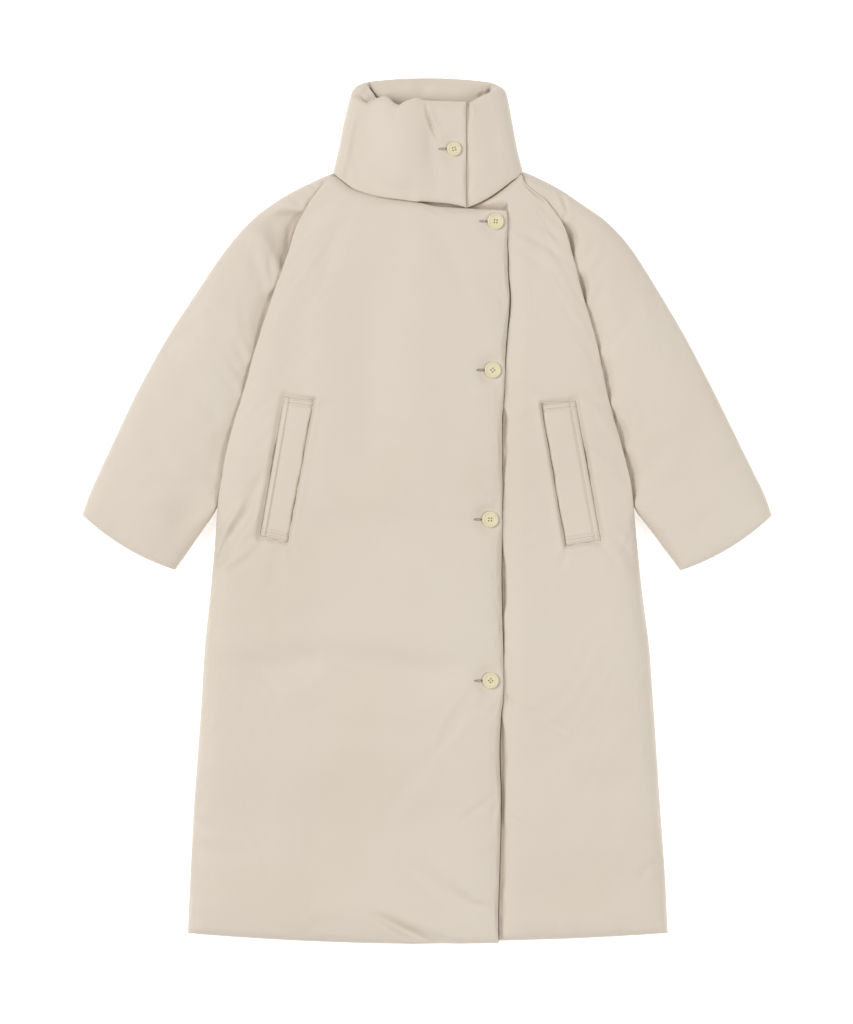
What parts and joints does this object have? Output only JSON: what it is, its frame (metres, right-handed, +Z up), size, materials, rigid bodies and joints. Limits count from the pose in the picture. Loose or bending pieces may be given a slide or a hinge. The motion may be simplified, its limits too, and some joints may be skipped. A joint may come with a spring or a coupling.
{
  "type": "long puffer coat",
  "caption": "Long smooth down coat with raglan sleeves, a high buttoned collar, an offset front lap and slanted welt pockets, laid flat on its back.",
  "frame": {"origin": "on the surface that the coat lies on, under the middle of its bounding box", "axes": "+Y from the hem to the collar, +X to the wearer's left, +Z up out of the front"},
  "size_m": [1, 1.254, 0.0521],
  "materials": {
    "shell": "smooth tightly woven ivory-beige shell cloth with a faint sheen",
    "buttons": "pale cream resin, softly polished"
  },
  "bodies": {
    "root": {"back": "shell", "front_right": "shell", "front_left": "shell", "sleeve_right_front": "shell", "sleeve_right_back": "shell", "sleeve_left_front": "shell", "sleeve_left_back": "shell", "collar": "shell", "welt_right": "shell", "welt_left": "shell", "button_collar": "buttons", "button_1": "buttons", "button_2": "buttons", "button_3": "buttons", "button_4": "buttons"}
  },
  "joints": []
}
